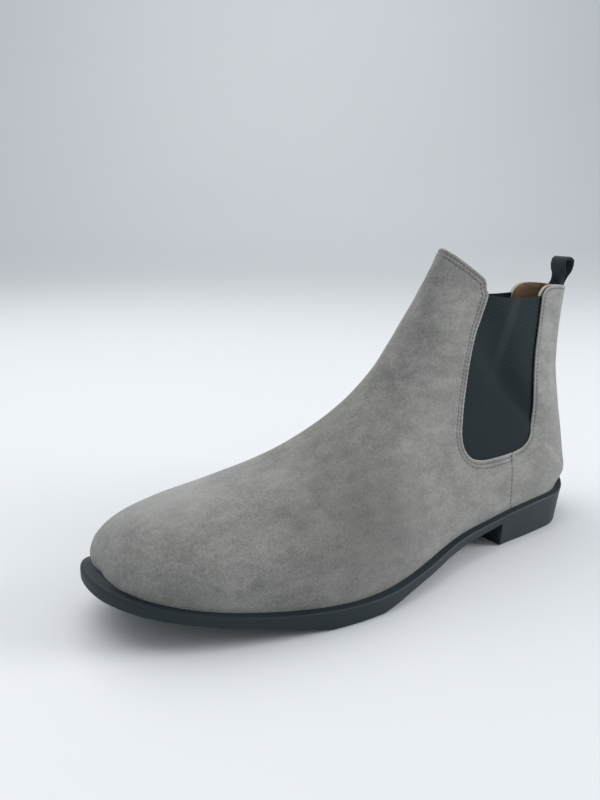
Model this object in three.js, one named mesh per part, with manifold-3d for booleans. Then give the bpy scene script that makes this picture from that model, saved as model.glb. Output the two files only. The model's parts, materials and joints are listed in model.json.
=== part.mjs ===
// A left chelsea boot: a suede upper of vamp and two quarters, an elastic gore in each side, stiffeners
// and a leather lining inside, and a moulded rubber unit sole with its heel.
// Millimetres, +Z up, the toe towards -Y and the outer side of the foot towards +X. The patterns are drawn
// with the toe tip at y = 0, and the finished boot is centred on its footprint.
import * as THREE from "three";
import Module from "manifold-3d";
import { mergeVertices } from "three/addons/utils/BufferGeometryUtils.js";

const wasm = await Module();
wasm.setup();

// ---------------------------------------------------------------- driving dimensions
const SOLE_LENGTH = 303; // toe tip to the back of the heel
const PEAK_HEIGHT = 164.5; // floor to the front peak of the shaft
const WIDTH_SCALE = 1; // girth of upper and sole together
const SOLE_EDGE = 5.8; // thickness of the sole's edge in front of the heel
const HEEL_LENGTH = 78.5; // heel breast to the back of the heel
const HEEL_LEAN_BACK = 6; // how far the heel draws in at the floor, at its back and at its sides
const HEEL_LEAN_SIDE = 1.5;
const RIM_LEDGE = 4; // sole rim that shows outside the upper
const GAP = 0.3; // clearance between layers
const SEAM_GAP = 0.4; // clearance between edges that meet in one layer
const EDGE_CLEARANCE = 1; // clearance round the insole board and the sock liner
const SUEDE = 1.5; // layers of the upper, from the outside in
const MIDLAYER = 1; // gores, toe puff, heel counter and the sewn-in end of the pull tab
const LINING = 0.8;
const LASTING_MARGIN = 14; // upper turned in under the insole board
const GORE_UNDERLAP = 8; // gore sewn in behind the suede
const GORE_TOP_SAG = 1.6;
const INSOLE_BOARD = 2;
const SOCK_LINER = 3;
const HEEL_PAD = 1.4;
const HEEL_PAD_LENGTH = 52;
const HEEL_PAD_MARGIN = 7; // sock liner that shows round the pad
const BOTTOM_FILLER = 1.6;
const SHANK_LENGTH = 118;
const SHANK_WIDTH = 14;
const SHANK = 1.4;
const SHANK_CENTRE = 119; // from the back of the heel
const RIVET_SPACING = 92;
const RIVET_RADIUS = 2;
const RIVET_HEAD_RADIUS = 3.4;
const RIVET_HEAD = 0.5;
const HEEL_CORE_WALL = 9; // rubber left round the core, and under it
const HEEL_CORE_FLOOR = 6;
const NAIL_COUNT = 4;
const NAIL_CIRCLE = 12; // radius of the circle that the nails stand on
const NAIL_CENTRE = 42; // from the back of the heel
const NAIL_RADIUS = 1.1;
const NAIL_HEAD_RADIUS = 2.6;
const NAIL_HEAD = 1;
const NAIL_LENGTH = 15;
const WEBBING_WIDTH = 10;
const WEBBING = 1.2;
const TAB_HEIGHT = 18; // topline to the top of the loop
const TAB_SPREAD = 9.6; // front to back over the top of the loop
const TAB_CORNER = 2.8;
const TAB_TAIL = 15; // webbing sewn in below the topline
const TAB_HINGE_RADIUS = 1.5; // the loop's round foot, about the line that it bends on

// Depths below the upper's outer face at which each layer starts.
const MID_DEPTH = SUEDE + GAP;
const LINING_DEPTH = MID_DEPTH + MIDLAYER + GAP;
const INSIDE_DEPTH = LINING_DEPTH + LINING + GAP;
const EDGE_DEPTH = INSIDE_DEPTH + EDGE_CLEARANCE; // edges of the insole board and the sock liner

// ---------------------------------------------------------------- patterns and their grading
// The patterns below are drawn for a sole of this length and a peak of this height. Lengths grade with
// the sole, and heights grade above the seat, where the sole's rim lies.
const PATTERN_LENGTH = 303;
const PATTERN_PEAK = 164.5;
const PATTERN_EDGE = 5.8;
const SEAT = 20.5;
const lengthGrade = SOLE_LENGTH / PATTERN_LENGTH;
const heightGrade = (PEAK_HEIGHT - SEAT) / (PATTERN_PEAK - SEAT);
const gradeY = (y) => y * lengthGrade;
const gradeZ = (z) => (z > SEAT ? SEAT + (z - SEAT) * heightGrade : z);
const graded = (outline) => outline.map(([y, z]) => [gradeY(y), gradeZ(z)]);

// Plan of the sole: distance from the toe tip, then half widths on the outer and the inner side.
const SOLE_PLAN = [
  [0, 0, 0],
  [2, 14, -15.5],
  [8, 25, -26.5],
  [20, 36, -34.5],
  [40, 46.5, -40.5],
  [70, 56.5, -44],
  [100, 62, -43.5],
  [125, 62, -40],
  [155, 55, -33.5],
  [190, 44, -29],
  [225, 39.5, -30],
  [255, 37, -32.5],
  [278, 33, -30.5],
  [294, 22, -21.5],
  [301, 10.5, -10.5],
  [303, 0, 0],
];
// The sole's side view: distance from the toe tip, height of the rim, and thickness under it. Where the
// thickness reaches past the floor the tread lies flat on it.
const SOLE_SIDE = [
  [-10, 29.2, 7.6],
  [2, 26.6, 7.4],
  [14, 22.4, 6.5],
  [37, 16.9, 5.8],
  [62, 13, 6.6],
  [82, 11, 8.6],
  [97, 9.9, 10.8],
  [114, 9.4, 10.8],
  [127, 9.6, 8.4],
  [143, 10.5, 6.4],
  [163, 12.4, 5.8],
  [192, 15.2, 5.4],
  [222, 17.7, 5.2],
  [248, 19.7, 5.2],
  [278, 20.4, 5.2],
  [313, 20.8, 5.2],
];
// The fan: lines across the side view of the upper, from the toe to above the topline. Each has its
// lower end (its height is null where it stands on the rim) and its upper end on the front ridge, then
// the widest half widths, how far up the line they lie, how square the section is, and how much of its
// width it loses in the hollow of the ankle.
const FAN = [
  { low: [6.4, null], high: [7, 27.8], wide: [0, 0], at: 0.5, square: 2, hollow: 0 },
  { low: [7.6, null], high: [6.2, 32], wide: [13, 12], at: 0.3, square: 2.1, hollow: 0 },
  { low: [11, null], high: [7, 37.6], wide: [21, 19], at: 0.3, square: 2.1, hollow: 0 },
  { low: [18, null], high: [11.6, 44.2], wide: [29.5, 25.5], at: 0.3, square: 2.1, hollow: 0 },
  { low: [31, null], high: [22.4, 50.2], wide: [38, 31], at: 0.3, square: 2.1, hollow: 0 },
  { low: [53, null], high: [43, 55.4], wide: [47.5, 36], at: 0.28, square: 2.05, hollow: 0 },
  { low: [83, null], high: [71.4, 59.6], wide: [56, 40.5], at: 0.25, square: 2, hollow: 0 },
  { low: [112, null], high: [98, 65], wide: [59.5, 41], at: 0.2, square: 2, hollow: 0 },
  { low: [142, null], high: [122.5, 74.3], wide: [56, 36], at: 0.15, square: 2, hollow: 0 },
  { low: [174, null], high: [145.2, 87.4], wide: [47, 30], at: 0.12, square: 2, hollow: 0.05 },
  { low: [207, null], high: [161.7, 101.7], wide: [39, 27], at: 0.1, square: 2, hollow: 0.13 },
  { low: [242, null], high: [174.2, 116], wide: [35, 28.5], at: 0.12, square: 2.1, hollow: 0.22 },
  { low: [270, null], high: [182.5, 126.3], wide: [33, 30], at: 0.12, square: 2.2, hollow: 0.28 },
  { low: [291, null], high: [187.7, 133.3], wide: [30.5, 28.5], at: 0.14, square: 2.3, hollow: 0.3 },
  { low: [301.1, 20.9], high: [191, 138.2], wide: [27.5, 26.5], at: 0.17, square: 2.35, hollow: 0.28 },
  { low: [305.1, 29.8], high: [193.4, 142.7], wide: [24.5, 24], at: 0.22, square: 2.3, hollow: 0.22 },
  { low: [306.5, 44.8], high: [196, 147.1], wide: [21.5, 21.2], at: 0.3, square: 2.2, hollow: 0.14 },
  { low: [305.5, 64.8], high: [198.5, 151.6], wide: [18.6, 18.6], at: 0.38, square: 2.1, hollow: 0.07 },
  { low: [303.6, 88.9], high: [201.3, 156.5], wide: [16.5, 16.5], at: 0.45, square: 2, hollow: 0.02 },
  { low: [305.2, 113.8], high: [203.7, 160.8], wide: [14.6, 14.6], at: 0.5, square: 2, hollow: 0 },
  { low: [308.5, 137.8], high: [205.8, 164.5], wide: [13.5, 13.5], at: 0.5, square: 2, hollow: 0 },
  { low: [310.5, 149.8], high: [209.1, 170.4], wide: [13.3, 13.3], at: 0.5, square: 2, hollow: 0 },
];
// Side view of the gore's opening, from its front top corner down, round the bottom and up the back.
const GORE_OPENING = graded([
  [229.7, 139.4],
  [225.4, 128.6],
  [218.7, 116.8],
  [213, 104.8],
  [209, 89.4],
  [205, 74.5],
  [202, 64.5],
  [202.5, 58.5],
  [206.1, 53.4],
  [212.6, 51],
  [224.6, 50.2],
  [239.6, 50.5],
  [248.6, 52],
  [255.2, 55.2],
  [259.8, 61.1],
  [262.5, 70.5],
  [264, 85.5],
  [267.5, 102.5],
  [272.7, 119.4],
  [276, 135.1],
]);
const SEAM_TOP = 11; // the gore's corner that the side seam runs down from
const SEAM_FOOT_Y = gradeY(235.6);
// The topline, from the gore up to the front peak and past it, and from the gore back past the heel.
const FRONT_TOPLINE = graded([
  [228.3, 143.6],
  [228.6, 146.3],
  [227.2, 148.4],
  [224.2, 150.3],
  [187.3, 177.7],
]);
const REAR_TOPLINE = graded([
  [277.3, 137.3],
  [279.9, 139.6],
  [283.6, 140.6],
  [294.1, 140.2],
  [308.6, 138.1],
  [329, 135],
]);
// Edge of the toe puff from the feather up, and of the heel counter from the waist to the back.
const TOE_PUFF_EDGE = graded([
  [55.4, -19.1],
  [54.2, 30.9],
  [33.1, 81.3],
]);
const HEEL_COUNTER_EDGE = graded([
  [227.4, -21.9],
  [231.2, 25],
  [242.3, 33.8],
  [258.4, 38.6],
  [274.6, 47.3],
  [288.7, 58.1],
  [332.8, 63.4],
]);

const OUTER = 1; // columns of SOLE_PLAN
const INNER = 2;
const PLAN_STEPS = 2; // facets between two rows of the plan
const FAN_ROWS = 30; // facets of the lofts, along the fan and up each side
const FAN_COLUMNS = 10;
const RIM_STEP = 9; // facets of the sole's curve
const ROUND = 16; // facets of a round
const FAR = 150; // how far cutting solids run past the boot

// ---------------------------------------------------------------- curves
// Reads a table of [key, value, ...] rows as a smooth curve through its rows.
function smooth(table, key, column) {
  const passed = table.filter((row) => row[0] <= key).length;
  const i = Math.min(Math.max(passed - 1, 0), table.length - 2);
  const row = (k) => table[Math.min(Math.max(k, 0), table.length - 1)];
  const slope = (k) => (row(k + 1)[column] - row(k - 1)[column]) / (row(k + 1)[0] - row(k - 1)[0]);
  const step = row(i + 1)[0] - row(i)[0];
  const t = Math.min(Math.max((key - row(i)[0]) / step, 0), 1);
  const rise = t * t * (3 - 2 * t);
  const bend = slope(i) * t * (1 - t) ** 2 - slope(i + 1) * t * t * (1 - t);
  return row(i)[column] * (1 - rise) + row(i + 1)[column] * rise + bend * step;
}

const rimAt = (y) => smooth(SOLE_SIDE, y / lengthGrade, 1);
const edgeAt = (y) => (smooth(SOLE_SIDE, y / lengthGrade, 2) * SOLE_EDGE) / PATTERN_EDGE;
const treadAt = (y) => Math.max(0, rimAt(y) - edgeAt(y));

// One side of the sole's plan, as points with the direction inwards at each.
function planSide(side) {
  const sign = side === OUTER ? 1 : -1;
  const at = (row, mirrored) => new THREE.Vector3(row[side] * WIDTH_SCALE * mirrored, gradeY(row[0]), 0);
  const ends = [at(SOLE_PLAN[1], -1), at(SOLE_PLAN.at(-2), -1)];
  const control = [ends[0], ...SOLE_PLAN.map((row) => at(row, 1)), ends[1]];
  const curve = new THREE.CatmullRomCurve3(control, false, "centripetal");
  const line = curve.getPoints(PLAN_STEPS * (control.length - 1)).slice(PLAN_STEPS, -PLAN_STEPS);
  return line.map((p, i) => {
    const along = new THREE.Vector3().subVectors(line[i + 1] ?? p, line[i - 1] ?? p);
    if (i === 0 || i === line.length - 1) along.set(i === 0 ? sign : -sign, 0, 0);
    const inward = new THREE.Vector2(-along.y, along.x).normalize().multiplyScalar(sign);
    return { point: new THREE.Vector2(p.x, p.y), inward };
  });
}
const plan = { [OUTER]: planSide(OUTER), [INNER]: planSide(INNER) };

// The sole's outline from above, each point moved inwards by what insetAt gives for it.
function planOutline(insetAt) {
  const round = [...plan[OUTER], ...plan[INNER].slice(1, -1).reverse()];
  return round.map(({ point, inward }) => point.clone().addScaledVector(inward, insetAt(point, inward)));
}

function halfWidthAt(side, y, inset) {
  const line = plan[side].map(({ point, inward }) => point.clone().addScaledVector(inward, inset));
  if (y <= line[0].y || y >= line.at(-1).y) return 0;
  const i = line.findIndex((p) => p.y > y);
  const [a, b] = [line[i - 1], line[i]];
  return a.x + ((b.x - a.x) * (y - a.y)) / (b.y - a.y);
}

// The fan's line at share t of the way from the toe to the top.
function fanLine(t) {
  const at = t * (FAN.length - 1);
  const table = (read) => FAN.map((line, i) => [i, read(line)]);
  const mix = (read) => smooth(table(read), at, 1);
  const lowHeight = ({ low }) => (low[1] === null ? rimAt(gradeY(low[0])) : gradeZ(low[1]));
  return {
    low: new THREE.Vector2(mix(({ low }) => gradeY(low[0])), mix(lowHeight)),
    high: new THREE.Vector2(mix(({ high }) => gradeY(high[0])), mix(({ high }) => gradeZ(high[1]))),
    wide: [mix(({ wide }) => wide[0] * WIDTH_SCALE), mix(({ wide }) => wide[1] * WIDTH_SCALE)],
    at: mix((line) => line.at),
    square: mix((line) => line.square),
    hollow: mix((line) => line.hollow),
  };
}

// An end of the fan's line moved inwards from the side view's outline.
function fanEnd(end, t, depth) {
  const step = 1e-3;
  const along = fanLine(Math.min(t + step, 1))[end].sub(fanLine(Math.max(t - step, 0))[end]);
  const inward = new THREE.Vector2(-along.y, along.x).normalize();
  return fanLine(t)[end].addScaledVector(inward, end === "low" ? depth : -depth);
}

// The ring of points round the upper at share t of the fan: up the outer side and down the inner one.
function fanRing(t, depth) {
  const line = fanLine(t);
  const [low, high] = [fanEnd("low", t, depth), fanEnd("high", t, depth)];
  const { at, square, hollow } = line;
  const sidePoint = (side, u) => {
    const widest = Math.max(line.wide[side - 1] - depth, 0);
    const onRim = Math.abs(halfWidthAt(side, low.x, RIM_LEDGE + depth));
    const foot = widest > 0 ? Math.min(onRim / widest, 1) : 0;
    const above = Math.max((u - at) / (1 - at), 0);
    const below = Math.max((at - u) / at, 0);
    const round = ((1 - above ** square) * (1 - (1 - foot ** square) * below ** square)) ** (1 / square);
    const ankle = 1 - hollow * Math.sin(Math.PI * above) ** 2;
    const x = widest * round * ankle * (side === OUTER ? 1 : -1);
    return new THREE.Vector3(x, low.x + (high.x - low.x) * u, low.y + (high.y - low.y) * u);
  };
  const steps = Array.from({ length: FAN_COLUMNS + 1 }, (_, i) => i / FAN_COLUMNS);
  const shares = steps.map((step) => (1 - Math.cos(Math.PI * step)) / 2);
  const up = shares.map((u) => sidePoint(OUTER, u));
  const down = shares.slice(0, -1).reverse().map((u) => sidePoint(INNER, u));
  return [...up, ...down];
}

// ---------------------------------------------------------------- solids
// A closed geometry as a manifold solid, turned the right way out.
function solidOf(geometry) {
  const bare = new THREE.BufferGeometry().setAttribute("position", geometry.getAttribute("position"));
  const merged = mergeVertices(bare.setIndex(geometry.getIndex()), 1e-3);
  const corners = [...merged.index.array];
  const faces = corners.flatMap((a, i) => (i % 3 ? [] : [[a, corners[i + 1], corners[i + 2]]]));
  const whole = faces.filter(([a, b, c]) => a !== b && b !== c && c !== a);
  const build = (triangles) =>
    new wasm.Manifold(
      new wasm.Mesh({
        numProp: 3,
        vertProperties: merged.attributes.position.array,
        triVerts: new Uint32Array(triangles.flat()),
      }),
    );
  const solid = build(whole);
  return solid.volume() > 0 ? solid : build(whole.map(([a, b, c]) => [b, a, c]));
}

// A solid through rings that each have the same number of points.
function loft(rings) {
  const n = rings[0].length;
  const points = rings.flat();
  const index = [];
  for (let i = 0; i < (rings.length - 1) * n; i++) {
    const next = i % n === n - 1 ? i + 1 - n : i + 1;
    index.push(i, next, next + n, i, next + n, i + n);
  }
  for (const [start, turned] of [[0, true], [(rings.length - 1) * n, false]]) {
    const ring = points.slice(start, start + n);
    const middle = points.push(ring.reduce((sum, p) => sum.add(p), new THREE.Vector3()).divideScalar(n)) - 1;
    for (let j = 0; j < n; j++) {
      const [a, b] = [start + j, start + ((j + 1) % n)];
      index.push(middle, turned ? b : a, turned ? a : b);
    }
  }
  const geometry = new THREE.BufferGeometry().setFromPoints(points);
  return solidOf(geometry.setIndex(index));
}

// All that lies deeper than this below the upper's outer face. The lines bunch up at the tip of the toe,
// so the tip is cut back square there, by a little more than the depth.
const TIP_CUT = 1.4;
const TOE_FRONT = Math.min(...FAN.map(({ high }) => gradeY(high[0])));
const lastCache = new Map();
function lastAt(depth) {
  if (!lastCache.has(depth)) {
    const shares = Array.from({ length: FAN_ROWS + 1 }, (_, i) => i / FAN_ROWS);
    const whole = loft(shares.map((t) => fanRing(t, depth)));
    lastCache.set(depth, whole.intersect(behind(TOE_FRONT + TIP_CUT * depth)));
  }
  return lastCache.get(depth);
}
const layer = (depth, thickness) => lastAt(depth).subtract(lastAt(depth + thickness));

const shapeOf = (outline) => new THREE.Shape(outline.map(([y, z]) => new THREE.Vector2(y, z)));

// A side-view shape as a solid from one x to another.
function sideways(shape, from, to) {
  const settings = { depth: to - from, bevelEnabled: false, curveSegments: ROUND / 2 };
  const geometry = new THREE.ExtrudeGeometry(shape, settings);
  const axes = [new THREE.Vector3(0, 1, 0), new THREE.Vector3(0, 0, 1), new THREE.Vector3(1, 0, 0)];
  return solidOf(geometry.applyMatrix4(new THREE.Matrix4().makeBasis(...axes)).translate(from, 0, 0));
}
const across = (outline, from = -FAR, to = FAR) => sideways(shapeOf(outline), from, to);

// An outline seen from above as a solid from one height to another.
function upright(outline, low, high) {
  const geometry = new THREE.ExtrudeGeometry(new THREE.Shape(outline), { depth: high - low, bevelEnabled: false });
  return solidOf(geometry.translate(0, 0, low));
}

// Everything between two heights over the sole's rim.
function overRim(low, high) {
  const count = Math.ceil((SOLE_LENGTH + 20) / RIM_STEP);
  const stations = Array.from({ length: count + 1 }, (_, i) => -10 + ((SOLE_LENGTH + 20) * i) / count);
  const under = stations.map((y) => [y, rimAt(y) + low]);
  const over = stations.map((y) => [y, rimAt(y) + high]);
  return across([...under, ...over.reverse()]);
}

const BACK_END = SOLE_LENGTH + FAR;
const TOP_END = PEAK_HEIGHT + FAR;
const behind = (y) => across([[y, -FAR], [BACK_END, -FAR], [BACK_END, TOP_END], [y, TOP_END]]);
const insidePlan = (inset) => upright(planOutline(() => inset), -FAR, FAR);

// A turned piece whose profile is [radius, height] pairs, standing on the rim's slope at a place.
function turned(profile, x, y, aboveRim) {
  const geometry = new THREE.LatheGeometry(profile.map(([r, h]) => new THREE.Vector2(r, h)), ROUND);
  const slope = Math.atan2(rimAt(y + 1) - rimAt(y - 1), 2);
  geometry.rotateX(Math.PI / 2 + slope);
  return solidOf(geometry.translate(x, y, rimAt(y) + aboveRim));
}

// ---------------------------------------------------------------- upper
// An outline moved outwards, where its inside is on the left.
function outset(outline, distance) {
  return outline.map((p, i) => {
    const [before, after] = [outline[i - 1] ?? p, outline[i + 1] ?? p];
    const [dy, dz] = [after[0] - before[0], after[1] - before[1]];
    const scale = distance / Math.hypot(dy, dz);
    return [p[0] + dz * scale, p[1] - dy * scale];
  });
}

const seamTop = GORE_OPENING[SEAM_TOP];
const vampOutline = [
  [-FAR, -FAR],
  [SEAM_FOOT_Y, -FAR],
  [SEAM_FOOT_Y, SEAT],
  ...GORE_OPENING.slice(0, SEAM_TOP + 1).reverse(),
  ...FRONT_TOPLINE,
  [-FAR, TOP_END],
];
const quarterOutline = [
  [BACK_END, -FAR],
  [BACK_END, REAR_TOPLINE.at(-1)[1]],
  ...[...REAR_TOPLINE].reverse(),
  ...GORE_OPENING.slice(SEAM_TOP + 1).reverse(),
  [seamTop[0] + SEAM_GAP, seamTop[1]],
  [SEAM_FOOT_Y + SEAM_GAP, SEAT],
  [SEAM_FOOT_Y + SEAM_GAP, -FAR],
];

function goreOutline() {
  const [front, rear] = [GORE_OPENING[0], GORE_OPENING.at(-1)];
  const shares = Array.from({ length: 7 }, (_, i) => i / 6);
  const hem = shares.map((s) => [
    rear[0] + (front[0] - rear[0]) * s,
    rear[1] + (front[1] - rear[1]) * s - 4 * GORE_TOP_SAG * s * (1 - s),
  ]);
  return [...outset(GORE_OPENING, GORE_UNDERLAP), ...hem];
}

// The part of a layer that one outline covers, open underneath between the turned-in edges.
const lastingHole = insidePlan(RIM_LEDGE + LASTING_MARGIN).intersect(overRim(-FAR, 2 * INSIDE_DEPTH));
function upperPiece(depth, thickness, outline, from, to) {
  return layer(depth, thickness).intersect(across(outline, from, to)).subtract(lastingHole);
}
const outerHalf = [SEAM_GAP / 2, FAR];
const innerHalf = [-FAR, -SEAM_GAP / 2];

const toePuffOutline = [[-FAR, -FAR], ...TOE_PUFF_EDGE, [-FAR, TOE_PUFF_EDGE.at(-1)[1]]];
const heelCounterOutline = [...HEEL_COUNTER_EDGE, [HEEL_COUNTER_EDGE.at(-1)[0], -FAR]];

// ---------------------------------------------------------------- pull tab
const topBack = REAR_TOPLINE.at(-2);
const TAB_HINGE = [topBack[0] - MID_DEPTH - MIDLAYER / 2, topBack[1] + 2 * GAP + TAB_HINGE_RADIUS];

function tabShape() {
  const top = topBack[1] + TAB_HEIGHT - TAB_HINGE[1];
  const outline = (half, foot, low, high, corner) =>
    new THREE.Shape()
      .moveTo(foot, low)
      .lineTo(half, high - corner)
      .quadraticCurveTo(half, high, half - corner, high)
      .lineTo(corner - half, high)
      .quadraticCurveTo(-half, high, -half, high - corner)
      .lineTo(-foot, low);
  const shape = outline(TAB_SPREAD / 2, TAB_HINGE_RADIUS, 0, top, TAB_CORNER);
  shape.absarc(0, 0, TAB_HINGE_RADIUS, Math.PI, 2 * Math.PI);
  const inner = [TAB_SPREAD / 2 - WEBBING, TAB_HINGE_RADIUS - WEBBING, TAB_HINGE_RADIUS];
  shape.holes.push(outline(...inner, top - WEBBING, TAB_CORNER - WEBBING));
  return shape;
}
const halfWebbing = WEBBING_WIDTH / 2;
const pullTab = sideways(tabShape(), -halfWebbing, halfWebbing).translate(0, ...TAB_HINGE);
const tabTailTop = topBack[1] - GAP;
const tabTailOutline = [
  [TAB_HINGE[0] - TAB_TAIL, tabTailTop - TAB_TAIL],
  [BACK_END, tabTailTop - TAB_TAIL],
  [BACK_END, tabTailTop],
  [TAB_HINGE[0] - TAB_TAIL, tabTailTop],
];

// ---------------------------------------------------------------- sole
const BREAST_Y = SOLE_LENGTH - HEEL_LENGTH;

function soleSide() {
  const count = Math.ceil(BREAST_Y / RIM_STEP);
  const under = Array.from({ length: count + 1 }, (_, i) => (BREAST_Y * i) / count);
  const over = Array.from({ length: 2 * count + 1 }, (_, i) => ((SOLE_LENGTH + FAR) * i) / (2 * count));
  return [
    [-FAR, treadAt(0)],
    ...under.map((y) => [y, treadAt(y)]),
    [BREAST_Y, 0],
    [BACK_END, 0],
    ...over.reverse().map((y) => [y, rimAt(y) - GAP]),
    [-FAR, rimAt(0) - GAP],
  ];
}

function outsole() {
  const lean = (share) => (point, inward) => {
    if (point.y < BREAST_Y) return 0;
    return share * (HEEL_LEAN_SIDE + (HEEL_LEAN_BACK - HEEL_LEAN_SIDE) * Math.max(-inward.y, 0) ** 2);
  };
  const level = (z, share) => planOutline(lean(share)).map((p) => new THREE.Vector3(p.x, p.y, z));
  const block = loft([level(0, 1), level(SEAT, 0), level(2 * SEAT, 0)]);
  return block.intersect(across(soleSide())).subtract(corePocket(0));
}

const corePocket = (clearance) =>
  upright(
    planOutline(() => HEEL_CORE_WALL + clearance),
    HEEL_CORE_FLOOR + clearance,
    FAR,
  ).intersect(behind(BREAST_Y + HEEL_CORE_WALL + clearance));

// ---------------------------------------------------------------- bottoming
const shankY = SOLE_LENGTH - SHANK_CENTRE;
const bottomInset = RIM_LEDGE + LASTING_MARGIN;
const shankX = (halfWidthAt(OUTER, shankY, bottomInset) + halfWidthAt(INNER, shankY, bottomInset)) / 2;
const BOARD_TOP = INSIDE_DEPTH + INSOLE_BOARD;
const SHANK_LOW = INSIDE_DEPTH - GAP - SHANK;
const rivetPlaces = [-RIVET_SPACING / 2, RIVET_SPACING / 2].map((along) => [shankX, shankY + along]);
const nailPlaces = Array.from({ length: NAIL_COUNT }, (_, i) => {
  const angle = ((i + 0.5) * 2 * Math.PI) / NAIL_COUNT;
  return [NAIL_CIRCLE * Math.cos(angle), SOLE_LENGTH - NAIL_CENTRE + NAIL_CIRCLE * Math.sin(angle)];
});

// A nail or rivet as a turned solid whose head is wider than its shaft, grown by a clearance.
function rivet([x, y], clearance) {
  const [shaft, head] = [RIVET_RADIUS + clearance, RIVET_HEAD_RADIUS + clearance];
  const length = BOARD_TOP - SHANK_LOW + clearance;
  const profile = [[0, -RIVET_HEAD], [head, -RIVET_HEAD], [head, 0], [shaft, 0], [shaft, length], [0, length]];
  return turned(profile, x, y, SHANK_LOW - GAP);
}

function nail([x, y], clearance) {
  const [shaft, head] = [NAIL_RADIUS + clearance, NAIL_HEAD_RADIUS + clearance];
  const [under, tip] = [-NAIL_HEAD - clearance, -NAIL_LENGTH - clearance];
  const profile = [[0, tip], [shaft, tip], [shaft, under], [head, under], [head, clearance], [0, clearance]];
  return turned(profile, x, y, BOARD_TOP);
}

const without = (solid, ...cuts) => cuts.reduce((left, cut) => left.subtract(cut), solid);
const rivetHoles = rivetPlaces.map((place) => rivet(place, GAP));
const nailHoles = nailPlaces.map((place) => nail(place, GAP));

function insoleBoard() {
  const board = lastAt(EDGE_DEPTH).intersect(overRim(INSIDE_DEPTH, BOARD_TOP));
  return without(board, ...rivetHoles, ...nailHoles);
}

function shank() {
  const strip = upright(
    [
      new THREE.Vector2(shankX - SHANK_WIDTH / 2, shankY - SHANK_LENGTH / 2),
      new THREE.Vector2(shankX + SHANK_WIDTH / 2, shankY - SHANK_LENGTH / 2),
      new THREE.Vector2(shankX + SHANK_WIDTH / 2, shankY + SHANK_LENGTH / 2),
      new THREE.Vector2(shankX - SHANK_WIDTH / 2, shankY + SHANK_LENGTH / 2),
    ],
    -FAR,
    FAR,
  );
  return without(strip.intersect(overRim(SHANK_LOW, SHANK_LOW + SHANK)), ...rivetHoles);
}

function bottomFiller() {
  const filler = insidePlan(bottomInset + GAP).intersect(overRim(0, BOTTOM_FILLER));
  return without(filler, ...nailHoles);
}

function heelPad(clearance) {
  const low = BOARD_TOP + GAP;
  const inset = RIM_LEDGE + INSIDE_DEPTH + HEEL_PAD_MARGIN - clearance;
  const front = SOLE_LENGTH - inset - HEEL_PAD_LENGTH - clearance;
  return insidePlan(inset).intersect(behind(front)).intersect(overRim(low - clearance, low + HEEL_PAD + clearance));
}

function sockLiner() {
  const low = BOARD_TOP + GAP;
  return lastAt(EDGE_DEPTH).intersect(overRim(low, low + SOCK_LINER)).subtract(heelPad(GAP));
}

function heelCore() {
  const core = corePocket(GAP).intersect(across(soleSide()));
  return without(core, ...nailHoles);
}

// ---------------------------------------------------------------- assembly
const finish = (color, roughness, metalness = 0) => ({ color, roughness, metalness });
const SUEDE_GREY = finish(0x8b8883, 0.95);
const ELASTIC_BLACK = finish(0x15191c, 0.8);
const WEBBING_BLACK = finish(0x17191a, 0.85);
const LEATHER_TAN = finish(0x9c7551, 0.75);
const RUBBER_BLACK = finish(0x1f2428, 0.7);
const BOARD_BROWN = finish(0x8f7a5c, 0.9);
const SHEET_WHITE = finish(0xc9c4b8, 0.8);
const FELT_GREY = finish(0x5f5c58, 1);
const FOAM_CREAM = finish(0xd8cfb4, 0.95);
const CORE_GREY = finish(0x3a3c3e, 0.9);
const STEEL = finish(0x9a9ea3, 0.35, 1);

const boot = new THREE.Group();
function add(name, solid, material) {
  const { numProp, vertProperties, triVerts } = solid.getMesh();
  const geometry = new THREE.BufferGeometry();
  const buffer = new THREE.InterleavedBuffer(vertProperties, numProp);
  geometry.setAttribute("position", new THREE.InterleavedBufferAttribute(buffer, 3, 0));
  geometry.setIndex(new THREE.BufferAttribute(triVerts, 1));
  const flat = geometry.toNonIndexed();
  flat.computeVertexNormals();
  const mesh = new THREE.Mesh(flat, new THREE.MeshStandardMaterial(material));
  mesh.name = name;
  boot.add(mesh);
}

add("vamp", upperPiece(0, SUEDE, vampOutline), SUEDE_GREY);
add("quarter_lateral", upperPiece(0, SUEDE, quarterOutline, ...outerHalf), SUEDE_GREY);
add("quarter_medial", upperPiece(0, SUEDE, quarterOutline, ...innerHalf), SUEDE_GREY);
add("gore_lateral", upperPiece(MID_DEPTH, MIDLAYER, goreOutline(), ...outerHalf), ELASTIC_BLACK);
add("gore_medial", upperPiece(MID_DEPTH, MIDLAYER, goreOutline(), ...innerHalf), ELASTIC_BLACK);
add("lining_vamp", upperPiece(LINING_DEPTH, LINING, vampOutline), LEATHER_TAN);
add("lining_quarter", upperPiece(LINING_DEPTH, LINING, quarterOutline), LEATHER_TAN);
add("toe_puff", upperPiece(MID_DEPTH, MIDLAYER, toePuffOutline), SHEET_WHITE);
add("heel_counter", upperPiece(MID_DEPTH, MIDLAYER, heelCounterOutline), BOARD_BROWN);
add("pull_tab", pullTab, WEBBING_BLACK);
add("pull_tab_tail", upperPiece(MID_DEPTH, MIDLAYER, tabTailOutline, -halfWebbing, halfWebbing), WEBBING_BLACK);
add("outsole", outsole(), RUBBER_BLACK);
add("heel_core", heelCore(), CORE_GREY);
add("bottom_filler", bottomFiller(), FELT_GREY);
add("shank", shank(), STEEL);
add("shank_rivet_front", rivet(rivetPlaces[0], 0), STEEL);
add("shank_rivet_rear", rivet(rivetPlaces[1], 0), STEEL);
add("insole_board", insoleBoard(), BOARD_BROWN);
nailPlaces.forEach((place, i) => add(`heel_nail_${i + 1}`, nail(place, 0), STEEL));
add("heel_pad", heelPad(0), FOAM_CREAM);
add("sock_liner", sockLiner(), LEATHER_TAN);

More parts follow.
